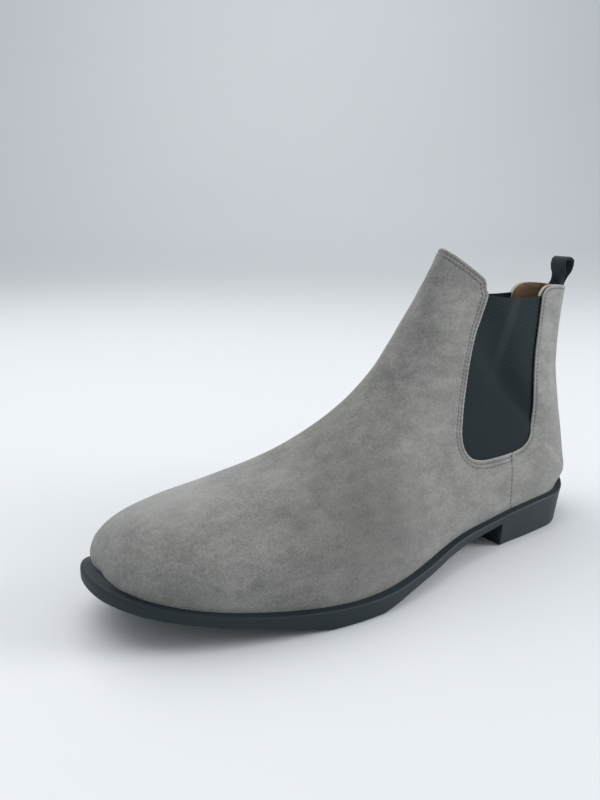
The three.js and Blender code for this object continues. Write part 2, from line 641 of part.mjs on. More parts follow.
// The origin is on the floor under the middle of the boot's own box.
const bounds = new THREE.Box3().setFromObject(boot, true);
const centre = bounds.getCenter(new THREE.Vector3());
boot.position.set(-centre.x, -centre.y, -bounds.min.z);
export default boot;
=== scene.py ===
"""A left chelsea boot: suede upper, elastic gores, tan leather lining, webbing pull tab, rubber sole.

Patterns are in millimetres on the last, with the toe tip at y = 0 and the floor at z = 0, and become metres
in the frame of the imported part. The outer side of the foot is towards +X and the toe towards -Y.
"""
import json
import math

import bmesh
import bpy
import numpy as np
from mathutils import Matrix, Vector, noise
from mathutils.geometry import delaunay_2d_cdt
from mathutils.kdtree import KDTree

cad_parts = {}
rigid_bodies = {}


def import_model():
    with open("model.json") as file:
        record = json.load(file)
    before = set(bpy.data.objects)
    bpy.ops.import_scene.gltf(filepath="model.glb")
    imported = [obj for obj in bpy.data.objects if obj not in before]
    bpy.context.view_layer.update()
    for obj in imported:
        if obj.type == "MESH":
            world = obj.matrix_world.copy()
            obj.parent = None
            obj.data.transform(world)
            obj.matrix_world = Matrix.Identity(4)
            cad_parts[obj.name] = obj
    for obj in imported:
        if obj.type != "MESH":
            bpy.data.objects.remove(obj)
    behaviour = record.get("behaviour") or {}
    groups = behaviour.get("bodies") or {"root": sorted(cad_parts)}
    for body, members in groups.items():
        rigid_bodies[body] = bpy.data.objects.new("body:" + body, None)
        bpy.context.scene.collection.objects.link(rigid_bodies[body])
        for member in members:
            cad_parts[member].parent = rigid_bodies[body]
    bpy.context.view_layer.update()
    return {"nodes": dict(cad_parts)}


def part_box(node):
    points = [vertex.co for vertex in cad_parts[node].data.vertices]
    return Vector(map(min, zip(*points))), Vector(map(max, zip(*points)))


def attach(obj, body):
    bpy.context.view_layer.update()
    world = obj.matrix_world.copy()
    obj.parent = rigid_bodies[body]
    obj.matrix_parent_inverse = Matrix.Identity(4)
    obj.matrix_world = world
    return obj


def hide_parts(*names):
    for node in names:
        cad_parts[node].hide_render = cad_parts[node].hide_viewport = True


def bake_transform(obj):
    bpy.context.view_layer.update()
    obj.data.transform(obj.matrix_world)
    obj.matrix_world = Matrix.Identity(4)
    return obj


for leftover in list(bpy.data.objects):
    bpy.data.objects.remove(leftover)
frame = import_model()

MM = 0.001
tab_low, tab_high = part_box("pull_tab")
sole_low, sole_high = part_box("outsole")
ORIGIN = np.array([(tab_low.x + tab_high.x) / 2, sole_low.y, sole_low.z])
SOLE_LENGTH = (sole_high.y - sole_low.y) / MM

# ---------------------------------------------------------------- sizes, in millimetres
SUEDE = 1.5
LINING_START = 1.65  # depth under the suede's face where the lining begins, and its thickness
LINING = 1.8
GORE_DEPTH = 1.4
GORE = 1.0
GORE_UNDERLAP = 6
SHEEN_SLANT = 0.478  # a painted sheen, a pale streak in the elastic's colour, leans back this much, from SHEEN_FOOT (metres) at the floor
SHEEN_FOOT = 0.033
RIM_LEDGE = 4
HEEL_LENGTH = 78.5
HEEL_LEAN_BACK = 6
HEEL_LEAN_SIDE = 1.5
SEAT = 20.5
EDGE_ROUND = 0.6  # rounding of the suede's cut edges
ROW_NEAR = 2.1  # stitch rows, from the cut edge
ROW_FAR = 4.4
ROW_SEAM = 1.5
STITCH_PITCH = 2.3
STITCH_LENGTH = 1.5
THREAD = 0.62
GROOVE_DEPTH = 0.24  # a stitch row sinks this deep into the suede, this wide to each side
GROOVE_WIDTH = 0.45
PALE_EDGE = 0.7  # the cut edge shows pale this far in
WEBBING_WIDTH = 10
WEBBING = 1.2
SOCK_HEIGHT = 9.7  # sock liner's face over the sole's rim
CELL = 1.7  # mesh size on the upper

# ---------------------------------------------------------------- patterns
# Sole from above: distance from the toe tip, then half widths on the outer and the inner side.
SOLE_PLAN = np.array([
    [0, 0, 0], [2, 14, -15.5], [8, 25, -26.5], [20, 36, -34.5], [40, 46.5, -40.5], [70, 56.5, -44],
    [100, 62, -43.5], [125, 62, -40], [155, 55, -33.5], [190, 44, -29], [225, 39.5, -30],
    [255, 37, -32.5], [278, 33, -30.5], [294, 22, -21.5], [301, 10.5, -10.5], [303, 0, 0],
])
# Sole from the side: distance from the toe tip, height of the rim, thickness under it.
SOLE_SIDE = np.array([
    [-10, 29.2, 7.6], [2, 26.6, 7.4], [14, 22.4, 6.5], [37, 16.9, 5.8], [62, 13, 6.6], [82, 11, 8.6],
    [97, 9.9, 10.8], [114, 9.4, 10.8], [127, 9.6, 8.4], [143, 10.5, 6.4], [163, 12.4, 5.8],
    [192, 15.2, 5.4], [222, 17.7, 5.2], [248, 19.7, 5.2], [278, 20.4, 5.2], [313, 20.8, 5.2],
])
# Lines across the side view of the upper, from the toe to above the topline: the lower end (y, z, where
# nan stands for the rim), the upper end on the front ridge, half widths outside and inside, how far up
# the line they lie, how square the section is, and the hollow of the ankle.
ON_RIM = math.nan
FAN = np.array([
    [5.6, ON_RIM, 6.3, 27.8, 0, 0, 0.5, 2, 0],
    [6.8, ON_RIM, 5.5, 32, 13, 12, 0.3, 2.1, 0],
    [10.4, ON_RIM, 6.5, 37.6, 21, 19, 0.3, 2.1, 0],
    [18, ON_RIM, 11.6, 44.2, 29.5, 25.5, 0.3, 2.1, 0],
    [31, ON_RIM, 22.4, 50.2, 38, 31, 0.3, 2.1, 0],
    [53, ON_RIM, 43, 55.4, 47.5, 36, 0.28, 2.05, 0],
    [83, ON_RIM, 71.4, 59.6, 56, 40.5, 0.25, 2, 0],
    [112, ON_RIM, 98, 65, 59.5, 41, 0.2, 2, 0],
    [142, ON_RIM, 122.5, 74.3, 56, 36, 0.15, 2, 0],
    [174, ON_RIM, 145.2, 87.4, 47, 30, 0.12, 2, 0.05],
    [207, ON_RIM, 161.7, 101.7, 39, 27, 0.1, 2, 0.13],
    [242, ON_RIM, 174.2, 116, 35, 28.5, 0.12, 2.1, 0.22],
    [270, ON_RIM, 182.5, 126.3, 33, 30, 0.12, 2.2, 0.28],
    [291, ON_RIM, 187.7, 133.3, 30.5, 28.5, 0.14, 2.3, 0.3],
    [301.1, 20.9, 191, 138.2, 27.5, 26.5, 0.17, 2.35, 0.28],
    [304.5, 29.8, 193.4, 142.7, 24.5, 24, 0.22, 2.3, 0.22],
    [306.5, 44.8, 196, 147.1, 21.5, 21.2, 0.3, 2.2, 0.14],
    [305.5, 64.8, 198.5, 151.6, 18.6, 18.6, 0.38, 2.1, 0.07],
    [303.6, 88.9, 201.3, 156.5, 16.5, 16.5, 0.45, 2, 0.02],
    [305.2, 113.8, 203.7, 160.8, 14.6, 14.6, 0.5, 2, 0],
    [308.5, 137.8, 205.8, 164.5, 13.5, 13.5, 0.5, 2, 0],
    [310.5, 149.8, 209.1, 170.4, 13.3, 13.3, 0.5, 2, 0],
])
# Side view of the gore's opening: down its front edge, round the bottom, and up its rear edge.
GORE_FRONT = [(229.7, 139.4), (225.4, 128.6), (218.7, 116.8), (213, 104.8), (209, 89.4), (205, 74.5),
              (202.2, 64.5), (202.6, 58.2), (206.1, 53.3), (213, 50.9), (224.6, 50.2), (239.6, 50.5)]
GORE_REAR = [(239.6, 50.5), (248.6, 52), (255.2, 55.2), (259.8, 61.1), (262.8, 70.5), (264.6, 85.5),
             (268.1, 102.5), (273, 119.4), (276.2, 135.1)]
SIDE_SEAM = [(235.6, 18.9), (236.6, 35), (239.6, 50.5)]
FRONT_TOPLINE = [(228.8, 141.6), (228.6, 145.4), (227.4, 148), (224.6, 150.1), (206.5, 163.6), (197, 170.8)]
REAR_TOPLINE = [(276.9, 136.5), (278.8, 138.4), (281.6, 139.9), (285.4, 140.6), (294.1, 140.2),
                (308.6, 138.1), (320, 136.4)]
GORE_TOP_SAG = 1.6


# ---------------------------------------------------------------- curves
def smooth(keys, values, at, level_start=False):
    """A smooth curve through the values at their keys, read at each place in at."""
    at = np.asarray(at, float)
    last = len(keys) - 1
    before = np.maximum(np.arange(last + 1) - 1, 0)
    after = np.minimum(np.arange(last + 1) + 1, last)
    slope = (values[after] - values[before]) / (keys[after] - keys[before])
    if level_start:
        slope[0] = 0
    i = np.clip(np.searchsorted(keys, at, side="right") - 1, 0, last - 1)
    step = keys[i + 1] - keys[i]
    t = np.clip((at - keys[i]) / step, 0, 1)
    rise = t * t * (3 - 2 * t)
    bend = slope[i] * t * (1 - t) ** 2 - slope[i + 1] * t * t * (1 - t)
    return values[i] * (1 - rise) + values[i + 1] * rise + bend * step


def rim_at(y):
    return smooth(SOLE_SIDE[:, 0], SOLE_SIDE[:, 1], y)


def tread_at(y):
    return np.maximum(rim_at(y) - smooth(SOLE_SIDE[:, 0], SOLE_SIDE[:, 2], y), 0)


def curve_through(points, steps):
    """A centripetal curve from the second point to the last but one, with steps points in each span."""
    t = np.linspace(0, 1, steps, endpoint=False)[:, None]
    line = []
    for a, b, c, d in zip(points, points[1:], points[2:], points[3:]):
        ab, bc, cd = (max(np.linalg.norm(v) ** 0.5, 1e-4) for v in (b - a, c - b, d - c))
        at_b = ((b - a) / ab - (c - a) / (ab + bc) + (c - b) / bc) * bc
        at_c = ((c - b) / bc - (d - b) / (bc + cd) + (d - c) / cd) * bc
        second = 3 * (c - b) - 2 * at_b - at_c
        third = 2 * (b - c) + at_b + at_c
        line.append(b + at_b * t + second * t**2 + third * t**3)
    return np.vstack([*line, points[-2:-1]])


def rounded(points, spacing=0.8):
    """A smooth curve through points, as evenly spaced points."""
    p = np.array(points, float)
    fine = curve_through(np.vstack([2 * p[0] - p[1], p, 2 * p[-1] - p[-2]]), 24)
    run = np.concatenate([[0], np.cumsum(np.linalg.norm(np.diff(fine, axis=0), axis=1))])
    stations = np.linspace(0, run[-1], max(int(run[-1] / spacing), 2) + 1)
    return np.column_stack([np.interp(stations, run, column) for column in fine.T])


def plan_side(column):
    """One side of the sole's plan and the direction inwards at each point."""
    sign = 1 if column == 1 else -1
    row = SOLE_PLAN[:, [column, 0]]
    mirrored = row[[1, -2]] * [-1, 1]
    line = curve_through(np.vstack([mirrored[:1], row, mirrored[1:]]), 14)
    along = np.gradient(line, axis=0)
    along[0], along[-1] = (sign, 0), (-sign, 0)
    inward = np.column_stack([-along[:, 1], along[:, 0]]) * sign
    return line, inward / np.linalg.norm(inward, axis=1)[:, None]


PLAN = {1: plan_side(1), 2: plan_side(2)}


def half_width(column, y, inset):
    line, inward = PLAN[column]
    moved = line + inward * inset
    forward = np.maximum.accumulate(moved[:, 1])
    return np.interp(y, forward, moved[:, 0], left=0, right=0)


# ---------------------------------------------------------------- the last
ROWS = np.arange(len(FAN), dtype=float)
low_heights = np.where(np.isnan(FAN[:, 1]), rim_at(FAN[:, 0]), FAN[:, 1])


def fan_column(t, values, level_start=True):
    return smooth(ROWS, values, t * (len(FAN) - 1), level_start)


def fan_end(t, y_values, z_values, depth):
    """An end of the fan's line, moved inwards by depth (towards the foot)."""
    step = 1e-3
    ahead, behind = np.minimum(t + step, 1), np.maximum(t - step, 0)
    y, z = fan_column(t, y_values), fan_column(t, z_values)
    dy = fan_column(ahead, y_values) - fan_column(behind, y_values)
    dz = fan_column(ahead, z_values) - fan_column(behind, z_values)
    length = np.maximum(np.hypot(dy, dz), 1e-9)
    return y - dz / length * depth, z + dy / length * depth


def line_ends(t, depth):
    low = fan_end(t, FAN[:, 0], low_heights, depth)
    high = fan_end(t, FAN[:, 2], FAN[:, 3], -depth)
    return low, high


def skin(t, s, depth=0.0):
    """Points of the last: t runs from the toe to the top, s from the outer foot (0) over the ridge (1) to
    the inner foot (2).
    """
    t, s = np.broadcast_arrays(np.asarray(t, float), np.asarray(s, float))
    outer = s <= 1
    u = (1 - np.cos(np.pi * np.where(outer, s, 2 - s))) / 2
    (low_y, low_z), (high_y, high_z) = line_ends(t, depth)
    wide = np.where(outer, fan_column(t, FAN[:, 4], False), fan_column(t, FAN[:, 5], False))
    widest = np.maximum(wide - depth, 0)
    inset = RIM_LEDGE + depth
    on_rim = np.abs(np.where(outer, half_width(1, low_y, inset), half_width(2, low_y, inset)))
    foot = np.minimum(on_rim / np.maximum(widest, 1e-6), 1)
    at, square, hollow = (fan_column(t, FAN[:, k]) for k in (6, 7, 8))
    above = np.clip((u - at) / (1 - at), 0, 1)
    below = np.clip((at - u) / at, 0, 1)
    round_part = ((1 - above**square) * (1 - (1 - foot**square) * below**square)) ** (1 / square)
    x = widest * round_part * (1 - hollow * np.sin(np.pi * above) ** 2) * np.where(outer, 1, -1)
    return np.stack([x, low_y + (high_y - low_y) * u, low_z + (high_z - low_z) * u], -1)


SCAN = np.linspace(0, 1, 2401)


def locate(points, depth=0.0):
    """The (t, s) of side-view points on the outer side, with s held between the foot and the ridge."""
    (low_y, low_z), (high_y, high_z) = line_ends(SCAN, depth)
    span_y, span_z = high_y - low_y, high_z - low_z
    found = []
    for y, z in points:
        across = span_y * (z - low_z) - span_z * (y - low_y)
        u = ((y - low_y) * span_y + (z - low_z) * span_z) / (span_y**2 + span_z**2)
        crossing = np.nonzero((across[:-1] >= 0) != (across[1:] >= 0))[0]
        if len(crossing) == 0:
            crossing = np.array([np.argmin(np.abs(across))])
        i = crossing[np.argmin(np.abs(u[crossing] - 0.5))]
        i = min(i, len(SCAN) - 2)
        share = across[i] / (across[i] - across[i + 1]) if across[i] != across[i + 1] else 0
        share = min(max(share, 0), 1)
        t = SCAN[i] + (SCAN[i + 1] - SCAN[i]) * share
        reach = u[i] + (u[i + 1] - u[i]) * share
        found.append((t, math.acos(1 - 2 * min(max(reach, 0), 1)) / math.pi, reach))
    return np.array(found)


# Mesh stations along the fan, closer where its lines lie closer, so that cells are about square.
stations = skin(SCAN[:, None], np.array([0.0, 0.5, 1.0])[None, :])
run = np.concatenate([[0], np.cumsum(np.linalg.norm(np.diff(stations, axis=0), axis=2).mean(1))]) / CELL
SIDE_CELLS = 58


def to_cells(ts):
    """(t, s) as places on the flat pattern, measured in cells."""
    return np.column_stack([np.interp(ts[:, 0], SCAN, run), ts[:, 1] * SIDE_CELLS])


def from_cells(cells):
    return np.interp(cells[:, 0], run, SCAN), cells[:, 1] / SIDE_CELLS


# ---------------------------------------------------------------- pieces
def place(points):
    """Points in millimetres on the last, in metres in the part's frame."""
    return np.asarray(points) * MM + ORIGIN


def new_piece(name, points, faces, finishes, body="boot"):
    mesh = bpy.data.meshes.new(name)
    mesh.from_pydata([tuple(p) for p in points], [], [tuple(int(i) for i in f) for f in faces])
    for finish in finishes:
        mesh.materials.append(finish)
    piece = bpy.data.objects.new(name, mesh)
    bpy.context.scene.collection.objects.link(piece)
    mesh.shade_smooth()
    piece["rides_on"] = body
    return piece


def active_only(piece):
    bpy.ops.object.select_all(action="DESELECT")
    piece.select_set(True)
    bpy.context.view_layer.objects.active = piece


def apply_modifier(piece, kind, **settings):
    active_only(piece)
    modifier = piece.modifiers.new(kind.title(), kind)
    for key, value in settings.items():
        setattr(modifier, key, value)
    bpy.ops.object.modifier_apply(modifier=modifier.name)


def inside(points, outline):
    """Which points lie inside a closed outline."""
    x, y = points[:, 0:1], points[:, 1:2]
    (x0, y0), (x1, y1) = outline.T, np.roll(outline, -1, axis=0).T
    spans = (y0 > y) != (y1 > y)
    with np.errstate(divide="ignore", invalid="ignore"):
        crossing = x0 + (x1 - x0) * (y - y0) / (y1 - y0)
    return (np.sum(spans & (x < crossing), axis=1) % 2) == 1


def distances(points, line):
    """Distance of each point from the nearest point of a dense line."""
    tree = KDTree(len(line))
    for i, p in enumerate(line):
        tree.insert(p, i)
    tree.balance()
    return np.array([tree.find(p)[2] for p in points])


def offset_line(line, distance):
    """A side-view line moved to its left."""
    along = np.gradient(line, axis=0)
    along /= np.maximum(np.linalg.norm(along, axis=1), 1e-9)[:, None]
    return line + np.column_stack([-along[:, 1], along[:, 0]]) * distance


def flat_pattern(outline, extra):
    """Triangles of a closed outline in cells, with lattice points and extra points inside it."""
    low, high = np.floor(outline.min(0)), np.ceil(outline.max(0))
    columns, rows = (np.arange(low[axis], high[axis] + 1) for axis in (0, 1))
    grid = np.stack(np.meshgrid(columns, rows), -1).reshape(-1, 2)
    grid = grid[inside(grid, outline)]
    edge = [(*p, 0) for p in outline]
    grid = grid[distances([(*p, 0) for p in grid], edge) > 0.42]
    if len(extra):
        extra = extra[inside(extra, outline)]
        extra = extra[distances([(*p, 0) for p in extra], edge) > 0.06]
        grid = grid[distances([(*p, 0) for p in grid], [(*p, 0) for p in extra]) > 0.4]
        grid = np.vstack([grid, extra])
    n = len(outline)
    points = [Vector(p) for p in outline] + [Vector(p) for p in grid]
    border = [(i, (i + 1) % n) for i in range(n)]
    made = delaunay_2d_cdt(points, border, [], 1, 1e-5)
    flat = np.array([tuple(p) for p in made[0]])
    faces = [f for f in made[2] if inside(flat[list(f)].mean(0)[None, :], outline)[0]]
    return flat, faces


def outer_line(points, lowest=-math.inf, highest=math.inf):
    """A side-view line as (t, s) on the outer side, cut off where it passes the foot (0) or the ridge (1)."""
    found = locate(points)
    return found[(found[:, 2] >= lowest) & (found[:, 2] <= highest)][:, :2]


def mirrored(ts):
    """The same line on the inner side, run the other way."""
    return np.column_stack([ts[:, 0], 2 - ts[:, 1]])[::-1]


def foot_line(t_from, t_to, s):
    count = max(int(abs(np.interp(t_to, SCAN, run) - np.interp(t_from, SCAN, run)) / 0.7), 2)
    return np.column_stack([np.linspace(t_from, t_to, count), np.full(count, float(s))])


def tidy_outline(parts):
    """Parts of an outline joined in cells, without doubled points."""
    whole = np.vstack([to_cells(p) for p in parts])
    gaps = np.linalg.norm(np.diff(np.vstack([whole, whole[:1]]), axis=0), axis=1)
    return whole[gaps > 0.08]


def sewn_face(cells, faces, depth, name, finishes):
    t, s = from_cells(cells)
    piece = new_piece(name, place(skin(t, s, depth)), faces, finishes)
    mesh = bmesh.new()
    mesh.from_mesh(piece.data)
    bmesh.ops.remove_doubles(mesh, verts=mesh.verts, dist=0.02 * MM)
    bmesh.ops.dissolve_degenerate(mesh, edges=mesh.edges, dist=0.002 * MM)
    mesh.normal_update()
    middle = Vector((0, 0.02, 0.05))
    outward = sum(f.normal.dot(f.calc_center_median() - middle) * f.calc_area() for f in mesh.faces)
    if outward < 0:
        bmesh.ops.reverse_faces(mesh, faces=mesh.faces)
    mesh.to_mesh(piece.data)
    mesh.free()
    return piece


def dress_edges(piece, groups, soft):
    """Rounds cut edges, sinks stitch rows and gives the face its softness.

    groups are (edge lines, stitch rows, rounding, share of pale edge). The finish reads the pale cut edge and
    the pressed rows from two attributes, and darkens the rows as pressed nap with painted shade in their
    grooves.
    """
    mesh = piece.data
    points = np.array([v.co for v in mesh.vertices])
    normals = np.array([n.vector for n in mesh.vertex_normals])
    sunk, pale, pressed = np.zeros(len(points)), np.zeros(len(points)), np.zeros(len(points))
    nearest = np.full(len(points), 1e3)
    for lines, rows, rounding, paleness in groups:
        distance = distances(points, place(np.vstack([skin(line[:, 0], line[:, 1]) for line in lines]))) / MM
        inwards = rounding - np.minimum(distance, rounding)
        sunk += rounding - np.sqrt(rounding**2 - inwards**2)
        pale = np.maximum(pale, paleness * np.clip((PALE_EDGE - distance) / 0.45, 0, 1))
        nearest = np.minimum(nearest, distance)
        for row in rows:
            groove = np.exp(-((distance - row) / GROOVE_WIDTH) ** 2)
            sunk += GROOVE_DEPTH * groove
            pressed += groove
    swell = np.array([noise.noise(Vector(p) * 26) + 0.5 * noise.noise(Vector(p) * 61) for p in points])
    sunk -= swell * soft * np.clip((nearest - 5) / 12, 0, 1)
    mesh.vertices.foreach_set("co", (points - normals * (sunk * MM)[:, None]).ravel())
    for name, values in (("pale", pale), ("pressed", pressed)):
        noted = mesh.attributes.new(name, "FLOAT", "POINT")
        noted.data.foreach_set("value", values.astype(np.float32))
    mesh.update()


def dense(ts, spacing=0.3):
    """A (t, s) line with extra points, for measuring from."""
    points = skin(ts[:, 0], ts[:, 1])
    length = np.concatenate([[0], np.cumsum(np.linalg.norm(np.diff(points, axis=0), axis=1))])
    stations = np.linspace(0, length[-1], max(int(length[-1] / spacing), 2))
    return np.column_stack([np.interp(stations, length, ts[:, 0]), np.interp(stations, length, ts[:, 1])])


def ring_points(side_line, inwards, both_sides, inner=False):
    """Mesh points in rows that follow a cut edge, for its rounding and its stitch rows."""
    rings = []
    for distance in (0.14, 0.34, 0.62, 1.2, 1.65, ROW_NEAR, 2.55, 3.4, 3.95, ROW_FAR, 4.85, 5.8):
        found = locate(offset_line(side_line, distance * inwards))
        found = found[(found[:, 2] > 0.0005) & (found[:, 2] < 0.9995)][:, :2]
        if not inner or both_sides:
            rings.append(to_cells(found))
        if inner or both_sides:
            rings.append(to_cells(mirrored(found)))
    return np.vstack(rings)


# ---------------------------------------------------------------- shader maths
class Wire:
    """A socket's value, on which Python's arithmetic adds Math nodes."""

    def __init__(self, finish, socket):
        self.finish = finish
        self.socket = socket

    def math(self, operation, *values):
        return self.finish.node("ShaderNodeMath", {"operation": operation}, dict(enumerate(values)))

    def __add__(self, other):
        return self.math("ADD", self, other)

    def __sub__(self, other):
        return self.math("SUBTRACT", self, other)

    def __rsub__(self, other):
        return self.math("SUBTRACT", other, self)

    def __mul__(self, other):
        return self.math("MULTIPLY", self, other)

    def ramp(self, low, high):
        """0 up to low, 1 from high on, smooth in between."""
        settings = {"interpolation_type": "SMOOTHSTEP", "clamp": True}
        inputs = {"Value": self, "From Min": low, "From Max": high}
        return self.finish.node("ShaderNodeMapRange", settings, inputs)


class Finish:
    """A material built from nodes round one Principled shader."""

    def __init__(self, name, **constants):
        self.material = bpy.data.materials.new(name)
        self.material.use_nodes = True
        self.tree = self.material.node_tree
        self.shader = self.tree.nodes["Principled BSDF"]
        for socket, value in constants.items():
            self.shader.inputs[socket.replace("_", " ")].default_value = value

    def node(self, kind, settings=None, inputs=None, output=0):
        made = self.tree.nodes.new(kind)
        for key, value in (settings or {}).items():
            setattr(made, key, value)
        for key, value in (inputs or {}).items():
            if isinstance(value, Wire):
                self.tree.links.new(value.socket, made.inputs[key])
            else:
                made.inputs[key].default_value = value
        return Wire(self, made.outputs[output])

    def place(self, scale=(1, 1, 1), turn=(0, 0, 0)):
        coordinates = self.node("ShaderNodeTexCoord", output="Object")
        return self.node("ShaderNodeMapping", None, {"Vector": coordinates, "Scale": scale, "Rotation": turn})

    def noise(self, scale, detail=2.0, roughness=0.5, vector=None, distortion=0.0):
        inputs = {"Vector": vector or self.place(), "Scale": scale, "Detail": detail, "Roughness": roughness,
                  "Distortion": distortion}
        return self.node("ShaderNodeTexNoise", {"noise_dimensions": "3D"}, inputs)

    def mix(self, factor, first, second):
        settings = {"data_type": "RGBA"}
        return self.node("ShaderNodeMix", settings, {"Factor": factor, 6: first, 7: second}, output=2)

    def near(self, point, radius):
        """1 at a point of the part, falling smoothly to 0 at the radius, in metres."""
        apart = self.node("ShaderNodeVectorMath", {"operation": "DISTANCE"}, {0: self.place(), 1: point},
                          output="Value")
        return apart.ramp(radius, 0)

    def noted(self, name):
        return self.node("ShaderNodeAttribute", {"attribute_name": name}, output="Fac")

    def set(self, socket, value):
        self.tree.links.new(value.socket, self.shader.inputs[socket])

    def bump(self, height, strength, distance):
        inputs = {"Height": height, "Strength": strength, "Distance": distance}
        self.set("Normal", self.node("ShaderNodeBump", None, inputs))


def colour(red, green, blue):
    return (red, green, blue, 1)


# Painted shade on the vamp's outer side and painted light on the toe, as spots in the suede's colour, in
# metres of the part.
PAINTED_SHADE_SPOT = (0.044, -0.035, 0.042)
PAINTED_LIGHT_SPOT = (-0.02, -0.115, 0.06)


def suede_finish():
    finish = Finish("brushed_suede", Roughness=0.95, Sheen_Weight=0.22, Sheen_Roughness=0.5,
                    Specular_IOR_Level=0.12, Sheen_Tint=colour(0.92, 0.94, 0.96))
    clouds = finish.noise(52, 4, 0.62, distortion=0.4)
    brushed = finish.noise(190, 3, 0.65, finish.place((1, 0.42, 1), (0.2, 0, 0)), 0.4)
    grain = finish.noise(950, 3, 0.7)
    tone = (clouds * 0.28 + brushed * 0.27 + grain * 0.45).ramp(0.33, 0.68)
    face = finish.mix(tone, colour(0.152, 0.152, 0.142), colour(0.304, 0.3, 0.282))
    # painted shade darkens the vamp's outer side and painted light brightens the toe, mixed into the suede's
    # colour
    painted_shade = finish.near(PAINTED_SHADE_SPOT, 0.07) * 0.5
    painted_light = finish.near(PAINTED_LIGHT_SPOT, 0.05) * 0.4
    face = finish.mix(painted_shade, face, colour(0.086, 0.087, 0.08))
    face = finish.mix(painted_light, face, colour(0.46, 0.455, 0.435))
    # darker pressed nap along the stitch rows, with painted shade in their sunk grooves
    pressed_nap_and_shade = finish.mix(finish.noted("pressed") * 0.3, face, colour(0.06, 0.06, 0.056))
    finish.set("Base Color", finish.mix(finish.noted("pale") * 0.7, pressed_nap_and_shade, colour(0.42, 0.415, 0.4)))
    nap = finish.noise(2300, 3, 0.7, finish.place((1, 1, 0.6)))
    finish.bump(nap * 0.55 + brushed * 0.25 + grain * 0.2, 0.5, 0.0004)
    return finish.material


def elastic_finish():
    finish = Finish("gore_elastic", Roughness=0.6, Specular_IOR_Level=0.1)
    ribs = finish.node("ShaderNodeTexWave", {"wave_type": "BANDS", "bands_direction": "Z"},
                       {"Vector": finish.place(), "Scale": 430, "Distortion": 0.5, "Detail": 1})
    yarn = finish.noise(1000, 2, 0.6, finish.place((1, 1, 0.12)))
    tone = (ribs * 0.5 + yarn * 0.5).ramp(0.2, 0.85)
    cloth = finish.mix(tone, colour(0.0024, 0.0088, 0.012), colour(0.0068, 0.0172, 0.0218))
    back, height = (finish.node("ShaderNodeSeparateXYZ", None, {"Vector": finish.place()}, output=axis)
                    for axis in "YZ")
    # painted sheen: a pale streak mixed into the elastic's colour along a leaning line, fading out towards
    # the floor
    aside = back - height * SHEEN_SLANT - SHEEN_FOOT
    painted_sheen = (1 - aside * aside * 28000).ramp(0, 1) * height.ramp(0.06, 0.13)
    finish.set("Base Color", finish.mix(painted_sheen * painted_sheen * 0.4, cloth, colour(0.04, 0.041, 0.045)))
    finish.bump(ribs * 0.8 + yarn * 0.2, 0.45, 0.0003)
    return finish.material


def webbing_finish():
    finish = Finish("tab_webbing", Roughness=0.8, Sheen_Weight=0.15, Specular_IOR_Level=0.2)
    across = finish.node("ShaderNodeTexWave", {"bands_direction": "Z"},
                         {"Vector": finish.place(), "Scale": 300, "Distortion": 0.6, "Detail": 1})
    along = finish.node("ShaderNodeTexWave", {"bands_direction": "X"},
                        {"Vector": finish.place(), "Scale": 260, "Distortion": 0.4, "Detail": 1})
    weave = across * 0.5 + along * 0.5
    yarn = finish.mix(weave, colour(0.0075, 0.0145, 0.019), colour(0.025, 0.0355, 0.0435))
    finish.set("Base Color", yarn)
    finish.bump(weave, 0.6, 0.0004)
    return finish.material


def lining_finish():
    finish = Finish("tan_lining", Roughness=0.6, Specular_IOR_Level=0.3)
    cells = finish.node("ShaderNodeTexVoronoi", {"feature": "DISTANCE_TO_EDGE"},
                        {"Vector": finish.place(), "Scale": 900}).ramp(0.0, 0.25)
    tone = finish.noise(45, 4, 0.6).ramp(0.3, 0.7)
    finish.set("Base Color", finish.mix(tone, colour(0.125, 0.074, 0.042), colour(0.2, 0.124, 0.074)))
    finish.bump(cells, 0.25, 0.0002)
    return finish.material


def cut_edge_finish():
    finish = Finish("lining_cut_edge", Roughness=0.85, Specular_IOR_Level=0.2)
    fibres = finish.noise(1400, 3, 0.7)
    tone = finish.mix(fibres.ramp(0.3, 0.7), colour(0.36, 0.31, 0.25), colour(0.54, 0.5, 0.44))
    finish.set("Base Color", tone)
    finish.bump(fibres, 0.4, 0.0002)
    return finish.material


def rubber_finish():
    finish = Finish("sole_rubber", Specular_IOR_Level=0.34)
    grain = finish.noise(1500, 2, 0.6)
    cloud = finish.noise(24, 3, 0.5)
    tone = (cloud * 0.8 + grain * 0.2).ramp(0.3, 0.7)
    dust = finish.noise(420, 2, 0.7).ramp(0.66, 0.78)
    body = finish.mix(tone, colour(0.0072, 0.0142, 0.0185), colour(0.0135, 0.0225, 0.028))
    finish.set("Base Color", finish.mix(dust * 0.25, body, colour(0.06, 0.066, 0.07)))
    finish.set("Roughness", tone * 0.12 + 0.5)
    facing = finish.node("ShaderNodeNewGeometry", output="Normal")
    down = finish.node("ShaderNodeSeparateXYZ", None, {"Vector": facing}, output="Z") * -1
    ribs = finish.node("ShaderNodeTexWave", {"bands_direction": "Y"},
                       {"Vector": finish.place(), "Scale": 70, "Distortion": 0}).ramp(0.35, 0.65)
    finish.bump(ribs * down.ramp(0.92, 0.98) * 4 + grain * 0.15, 0.5, 0.0005)
    return finish.material


def thread_finish():
    finish = Finish("grey_thread", Roughness=0.7, Sheen_Weight=0.1)
    twist = finish.noise(1600, 1, 0.5)
    finish.set("Base Color", finish.mix(twist, colour(0.045, 0.046, 0.046), colour(0.1, 0.1, 0.098)))
    finish.bump(twist, 0.3, 0.0001)
    return finish.material


